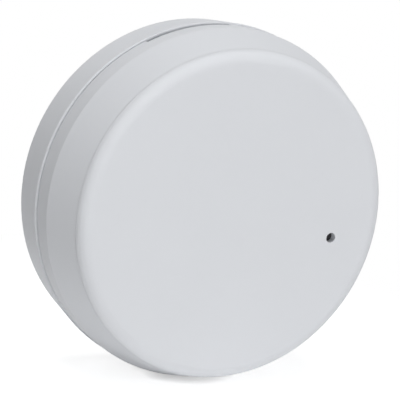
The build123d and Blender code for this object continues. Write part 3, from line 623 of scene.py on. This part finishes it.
batteryCoil = {
    "at": (-19.0, -14.8, 0.0), "axis": "up",  # x, y and z of the axis's foot
    "from": -19.25, "to": -15.25, "wire": 0.7, "wide": 4.6, "narrow": 2.8, "turns": 4.0, "slow": 0.4,
    "steps": 48, "sides": 12}
tamperCoil = {
    "at": (21.0, 0.0, 13.4), "axis": "out",  # out of the wall
    "from": 17.2, "to": 19.5, "wire": 0.3, "wide": 1.6, "narrow": 1.6, "turns": 4.0, "slow": 0.27,
    "steps": 40, "sides": 10}


def coil(look):
    # height(t) = slow t + fast (t / 2 - turns sin(2 pi t / turns) / (4 pi)), with fast set by the whole rise;
    # radius(t) runs evenly from wide to narrow
    turns, rise = look["turns"], look["to"] - look["from"] - look["wire"]
    t = np.linspace(0, turns, int(look["steps"] * turns) + 1)
    fast = 2 * (rise - look["slow"] * turns) / turns
    height = look["slow"] * t + fast * (t / 2 - turns * np.sin(2 * pi * t / turns) / (4 * pi))
    height = height + look["from"] + look["wire"] / 2
    radius = look["wide"] + (look["narrow"] - look["wide"]) * t / turns
    path = np.stack([radius * np.cos(2 * pi * t), radius * np.sin(2 * pi * t), height], -1)
    points, faces = tube(path, look["wire"] / 2, look["sides"], (0.0, 0.0, 1.0))
    x, y, z = points.T
    turned = np.c_[x, y, z] if look["axis"] == "up" else np.c_[x, -z, y]
    return (turned + look["at"]) * mm, faces


springWire = platedMetal("springWire", metal((0.5, 0.5, 0.5), roughness=0.25, stain=0.4, lines=0.08))
piece("batterySpringCoil", coil(batteryCoil), "unit", springWire, ["battery_spring"])
piece("tamperSpringCoil", coil(tamperCoil), "unit", springWire, ["tamper_spring"])
print("battery and springs")

# Microphone: a rubber boot with rolled lips and grip grooves, and a woven screen in a pressed ring

bootLook = {
    "at": (24.5, -4.6), "steps": 5, "sides": 80,
    "foot": [(5.65, 17.8, 0), (6.4, 17.8, 0.3)],  # corners: radius, depth, round
    "grooves": (19.4, 21.2, 23.0), "groove": 0.28, "grooveFlat": 0.2, "grooveHalf": 0.5, "grooveRound": 0.15,
    "front": [(6.4, 24.9, 0.6), (4.0, 26.5, 0.45), (2.5, 26.5, 0.3), (2.5, 23.3, 0.2), (4.9, 23.3, 0.1),
              (4.9, 17.8, 0.25)],
    "color": (0.028, 0.028, 0.03), "bloom": 3.0, "bloomDetail": 3.0, "bloomShare": 0.5, "bloomShade": 2.2,
    "bloomRoughness": 0.08, "grain": 0.2, "grainDetail": 2.0, "grainTexture": 0.6, "grainDepth": 0.015,
    "grainStrength": 0.5, "grainRoughness": 0.1, "roughness": 0.62}


def rubberBoot(look):
    # a turned profile: out along the foot, up the side with its grooves, over the front and back down the bore
    outer = look["foot"][-1][0]
    inner, half, flat, soft = outer - look["groove"], look["grooveHalf"], look["grooveFlat"], look["grooveRound"]
    corners = list(look["foot"])
    for depth in look["grooves"]:
        corners += [(outer, depth - half, soft), (inner, depth - flat, soft), (inner, depth + flat, soft),
                    (outer, depth + half, soft)]
    corners += look["front"] + look["foot"][:1]
    return lathe(rounded(corners, look["steps"]), look["at"], look["sides"])


def rubberSkin(look):
    # colour = color, paler by bloomShare * bloom; roughness = roughness + grain and bloom shares
    m = material("bootRubber")
    bloom = m.noise(look["bloom"] * mm, look["bloomDetail"])
    grain = m.noise(look["grain"] * mm, look["grainDetail"], look["grainTexture"])
    color = m.blend(bloom * look["bloomShare"], look["color"], shade(look["color"], look["bloomShade"]))
    roughness = (look["roughness"] + (grain - noiseMean) * look["grainRoughness"]
                 + bloom * look["bloomRoughness"])
    return m.principled(Base_Color=color, Roughness=roughness,
                        Normal=m.bump(grain, look["grainDepth"] * mm, look["grainStrength"]))


piece("microphoneBootRubber", rubberBoot(bootLook), "unit", rubberSkin(bootLook), ["microphone_boot"])

screenLook = {"at": (24.5, -4.6), "radius": 3.0, "rim": 0.45, "rimRound": 0.08, "rimSteps": 4, "rimSides": 64,
              "low": 26.8, "high": 27.1, "pitch": 0.4, "wire": 0.11, "wireSides": 6, "steps": 10, "least": 8}


def wovenScreen(look):
    # each wire follows depth = middle +- lift cos(pi s / pitch), over and under the wires across it
    middle, lift = (look["low"] + look["high"]) / 2, look["wire"] / 2
    reach = look["radius"] - look["rim"] / 2
    made = []
    count = int(reach / look["pitch"])
    for k in range(-count, count + 1):
        offset = k * look["pitch"]
        half = (reach ** 2 - offset ** 2) ** 0.5
        s = np.linspace(-half, half, max(look["least"], int(half / look["pitch"] * look["steps"])))
        wave = lift * np.cos(pi * s / look["pitch"]) * (-1) ** k
        flat = np.full_like(s, offset)
        for path, across in ((np.stack([s, middle + wave, flat], -1), (0.0, 0.0, 1.0)),
                             (np.stack([flat, middle - wave, s], -1), (1.0, 0.0, 0.0))):
            points, faces = tube(path, look["wire"] / 2, look["wireSides"], across)
            x, depth, z = points.T
            made.append((np.c_[x + look["at"][0], -depth, z + look["at"][1]] * mm, faces))
    inner, outer, low, high = look["radius"] - look["rim"], look["radius"], look["low"], look["high"]
    edge, soft = (low + high) / 2, look["rimRound"]
    ring = rounded([(inner, edge, 0), (inner, low, soft), (outer, low, soft), (outer, high, soft),
                    (inner, high, soft), (inner, edge, 0)], look["rimSteps"])
    return together(made + [lathe(ring, look["at"], look["rimSides"])])


screenWire = platedMetal("screenWire", metal((0.2, 0.2, 0.21), roughness=0.4, stain=0.4, lines=0.05))
piece("dustScreenWeave", wovenScreen(screenLook), "cover", screenWire, ["dust_screen"])

# the capsule's black disc is painted shade over its port
capsuleLook = {"metal": metal((0.62, 0.62, 0.63), along=(1.0, 0.1, 1.0), stain=0.3), "portShadeRadius": 1.45,
               "portShadeColor": (0.02, 0.02, 0.022)}


def capsulePortShade(m):
    # painted shade: a black disc over the capsule's port, standing in for the shade inside the hole
    return m.disc(bootLook["at"], capsuleLook["portShadeRadius"]), capsuleLook["portShadeColor"]


dress(platedMetal("capsuleAluminium", capsuleLook["metal"], None, capsulePortShade), "microphone_capsule")
print("microphone")

# Chips: black epoxy with a pin 1 dimple

chipLook = {"epoxy": plastic((0.03, 0.03, 0.032), roughness=0.55, grain=0.12, specular=0.4, depth=0.02, speckle=0.3),
            "dimple": 0.8, "firstPins": {  # node, place and radius of its dimple
                "mcuEpoxy": ("microcontroller", (5.7, 7.8), 0.5),
                "amplifierEpoxy": ("amplifier_chip", (12.2, -15.0), 0.4)}}


def dimple(at, radius):
    # height = 1, less dimple inside the circle
    return lambda m: 1.0 - m.disc(at, radius) * chipLook["dimple"]


for name, (chip, at, radius) in chipLook["firstPins"].items():
    dress(mouldedPlastic(name, chipLook["epoxy"], dimple(at, radius)), chip)
dress(tin, "chip_pins", "chip_terminals")

# Small parts of one plain finish: material, finish, nodes

plainPlastics = [
    ("capacitorCeramic", plastic((0.42, 0.3, 0.19), roughness=0.5, grain=0.15, depth=0.006, speckle=0.25),
     ["chip_capacitors"]),
    ("blackNylon", plastic((0.035, 0.035, 0.04), roughness=0.5, grain=0.2, speckle=0.2),
     ["capacitor_bases", "header_body", "test_button_body", "tamper_switch_body"]),
    ("buttonPlastic", plastic((0.07, 0.07, 0.075), grain=0.2), ["test_button_cap"]),
    ("dipPlastic", plastic((0.05, 0.13, 0.42), grain=0.2, depth=0.01, speckle=0.15), ["dip_switch_body"]),
    ("sliderPlastic", plastic((0.85, 0.85, 0.82), grain=0.2), ["dip_slider_1", "dip_slider_2"]),
    ("plungerPlastic", plastic((0.8, 0.8, 0.77), roughness=0.4, grain=0.2), ["tamper_plunger"])]
plainMetals = [
    ("crystalSteel", metal((0.57, 0.56, 0.54), roughness=0.28, along=(0.1, 1.0, 1.0), stain=0.4), ["crystal"]),
    ("antennaBrass", metal((0.73, 0.52, 0.22), roughness=0.26), ["antenna"]),
    ("pinGold", metal((0.83, 0.62, 0.25), roughness=0.24, along=(1.0, 0.1, 1.0), stain=0.15), ["header_pins"]),
    ("buttonSteel", metal((0.55, 0.55, 0.55), roughness=0.34, along=(0.1, 1.0, 1.0)), ["test_button_plate"])]
for name, look, parts in plainPlastics:
    dress(mouldedPlastic(name, look), *parts)
for name, look, parts in plainMetals:
    dress(platedMetal(name, look), *parts)

# Small parts with marks of their own

resistorLook = {"ceramic": plastic((0.7, 0.7, 0.68), roughness=0.5, grain=0.1), "film": (0.02, 0.02, 0.022),
                "filmFrom": (17.02, 17.04)}
moduleLook = {"mask": plastic((0.02, 0.07, 0.2), roughness=0.3, grain=0.3, depth=0.004), "gold": (0.62, 0.42, 0.14),
              "notches": [(2.2 + 1.6 * k, -13.0) for k in range(-3, 4)], "notch": 0.68}
shieldLook = {"metal": metal((0.58, 0.58, 0.57), roughness=0.28, along=(0.1, 1.0, 1.0), stain=0.45), "spot": 0.35,
              "spots": [(x, z) for x in (-1.8, 2.2, 6.2) for z in (-21.9, -15.1)]}
# the screws' dark second colour is painted shade for the recesses of their crosses
screwLook = {"metal": metal((0.52, 0.52, 0.54), stain=0.45), "paintedCrossShade": (0.12, 0.12, 0.125),
             "heads": [(28.54, 6.17), (-3.51, 28.99), (-3.51, -28.99)], "cross": 1.35, "crossTop": (17.85, 17.95)}
canLook = {"metal": metal((0.62, 0.62, 0.63), roughness=0.32, stain=0.3), "ink": (0.02, 0.02, 0.022),
           "tops": [(17.3, 22.8, 6.3), (5.0, -28.5, 5.0), (-3.5, 3.0, 5.0)],  # x, z and width
           "score": 0.1, "scoreReach": 0.32, "strip": 0.42, "stripFrom": 0.2, "topFrom": (21.9, 21.95)}


def above(m, depths):
    # 0 under the first depth, 1 over the second
    return m.ramp(m.axes[1], *(depth * mm for depth in depths))


def resistorFilm(m):
    # the dark film on each top
    return above(m, resistorLook["filmFrom"]), resistorLook["film"]


def moduleGold(m):
    # bare gold round the half holes of the module's edge
    return sum((m.disc(at, moduleLook["notch"]) for at in moduleLook["notches"]), 0.0), moduleLook["gold"]


def shieldSpots(m):
    # height = 1, less 1 in each of the shield's round weld spots
    return 1.0 - sum((m.disc(at, shieldLook["spot"]) for at in shieldLook["spots"]), 0.0)


def driveShade(m):
    # painted shade: the cross in each head is coloured darker below its top, standing in for the shade in its recess
    inside = sum((m.disc(at, screwLook["cross"]) for at in screwLook["heads"]), 0.0)
    return inside * (1.0 - above(m, screwLook["crossTop"])), screwLook["paintedCrossShade"]


def topScore(m):
    # height = 1, less 1 in a cross pressed into the top of each can
    x, _, z = m.axes
    made = 0.0
    for cx, cz, wide in canLook["tops"]:
        lines = (abs(x - cx * mm) < canLook["score"] * mm) + (abs(z - cz * mm) < canLook["score"] * mm)
        made = made + (lines > 0.5) * m.disc((cx, cz), wide * canLook["scoreReach"])
    return 1.0 - made * above(m, canLook["topFrom"])


def polarityInk(m):
    # a dark strip on the negative side of each can's top
    made = 0.0
    for cx, cz, wide in canLook["tops"]:
        left = m.axes[0] < (cx - wide * canLook["stripFrom"]) * mm
        made = made + m.disc((cx, cz), wide * canLook["strip"]) * left
    return made * above(m, canLook["topFrom"]), canLook["ink"]


dress(mouldedPlastic("resistorCeramic", resistorLook["ceramic"], None, resistorFilm), "chip_resistors")
dress(mouldedPlastic("moduleMask", moduleLook["mask"], None, moduleGold), "radio_module")
dress(platedMetal("shieldTin", shieldLook["metal"], shieldSpots), "radio_shield")
dress(platedMetal("screwZinc", screwLook["metal"], None, driveShade), "board_screws")
dress(platedMetal("capacitorAluminium", canLook["metal"], topScore, polarityInk), "capacitor_cans")

statusLook = {"color": (0.62, 0.05, 0.04), "haze": 0.8, "hazeShare": 0.3, "hazeShade": 1.6, "roughness": 0.12,
              "hazeRoughness": 0.08, "relief": 0.01, "reliefStrength": 0.2, "coat": 0.3}


def lampSkin(look):
    # colour = color, lighter by hazeShare * haze
    m = material("lampEpoxy")
    haze = m.noise(look["haze"] * mm)
    color = m.blend(haze * look["hazeShare"], look["color"], shade(look["color"], look["hazeShade"]))
    return m.principled(Base_Color=color, Roughness=look["roughness"] + haze * look["hazeRoughness"],
                        Normal=m.bump(haze, look["relief"] * mm, look["reliefStrength"]),
                        Coat_Weight=look["coat"])


dress(lampSkin(statusLook), "status_lamp")
print("small parts")

# Floor, world and lamps

floorLook = {"size": 6.0, "height": -40.2 * mm, "color": (0.92, 0.92, 0.92), "glow": 0.74, "share": 0.86,
             "near": 0.045, "far": 0.1, "contact": 0.55, "paintedShadowReach": 1.8 * mm, "samples": 16}
worldLook = {"color": (1.0, 1.0, 1.0), "level": 0.072}
lampLooks = [
    {"name": "leftLamp", "turn": -105, "rise": 5, "watts": 1.35},
    {"name": "frontLamp", "turn": -90, "rise": 5, "watts": 3.2},
    {"name": "rightLamp", "turn": 0, "rise": 5, "watts": 0.58},
    {"name": "backLamp", "turn": 90, "rise": 5, "watts": 0.35},
    {"name": "highBackLamp", "turn": 90, "rise": 25, "watts": 0.61},
    {"name": "highLeftLamp", "turn": -150, "rise": 72, "watts": 2.88},
    {"name": "highFrontLamp", "turn": -90, "rise": 72, "watts": 2.59},
    {"name": "topLamp", "turn": 0, "rise": 90, "watts": 0.86}]
lampStand = {"distance": 1.0, "size": 0.5}


def whiteToCamera(m, lit, seen):
    # the lit shader, but the plain one to camera, glossy and transmission rays
    direct, glossy, through = (m.node("LightPath", outlet="Is %s Ray" % kind)
                               for kind in ("Camera", "Glossy", "Transmission"))
    return m.node("MixShader", {}, {0: direct + glossy + through, 1: lit, 2: seen})


def floorMaterial(look):
    # to the camera it is white, and near the object glow + share * light, so that only a close shadow is below
    # white; an ambient occlusion node paints a contact shadow into the glow, darkening it by contact within its
    # reach of the object
    m = material("floor")
    x, depth, _ = m.axes
    near = 1.0 - m.ramp((x * x + depth * depth) ** 0.5, look["near"], look["far"])
    lit = m.node("BsdfDiffuse", {}, {"Color": look["color"]})
    dim = m.node("BsdfDiffuse", {}, {"Color": m.blend(near, (0.0,) * 3, (look["share"],) * 3)})
    # painted contact shadow: the ambient occlusion darkens the glow wherever the object is close
    clear = m.node("AmbientOcclusion", {"samples": look["samples"]}, {"Distance": look["paintedShadowReach"]}, "AO")
    level = (1.0 - near * (1.0 - look["glow"])) * (1.0 - (1.0 - clear) * look["contact"])
    glow = m.node("Emission", {}, {"Strength": level})
    return m.shown("OutputMaterial", whiteToCamera(m, lit, m.node("AddShader", {}, {0: dim, 1: glow})))


def worldMaterial(look):
    # an even dim light, plain white where whiteToCamera says
    m = Recipe(bpy.data.worlds.new("world"))
    soft = m.node("Background", {}, {"Color": look["color"], "Strength": look["level"]})
    white = m.node("Background", {}, {"Color": (1.0, 1.0, 1.0), "Strength": 1.0})
    return m.shown("OutputWorld", whiteToCamera(m, soft, white))


def lamp(look):
    # place = distance (cos rise cos turn, cos rise sin turn, sin rise), facing the object
    light = bpy.data.lights.new(look["name"], "AREA")
    light.shape, light.size, light.energy = "DISK", lampStand["size"], look["watts"]
    made = bpy.data.objects.new(look["name"], light)
    bpy.context.scene.collection.objects.link(made)
    turn, rise = radians(look["turn"]), radians(look["rise"])
    way = Vector((cos(rise) * cos(turn), cos(rise) * sin(turn), sin(rise)))
    made.location = way * lampStand["distance"]
    made.rotation_euler = (-way).to_track_quat("-Z", "Y").to_euler()


bpy.context.scene.world = worldMaterial(worldLook)
half = floorLook["size"] / 2
plate = np.array([[-half, -half], [half, -half], [half, half], [-half, half]])
ground = bpy.data.meshes.new("floor")
ground.from_pydata(np.c_[plate, np.full(4, floorLook["height"])].tolist(), [], [[0, 1, 2, 3]])
ground.materials.append(floorMaterial(floorLook))
floor = bpy.data.objects.new("floor", ground)
bpy.context.scene.collection.objects.link(floor)
for look in lampLooks:
    lamp(look)
print("floor and", len(lampLooks), "lamps")
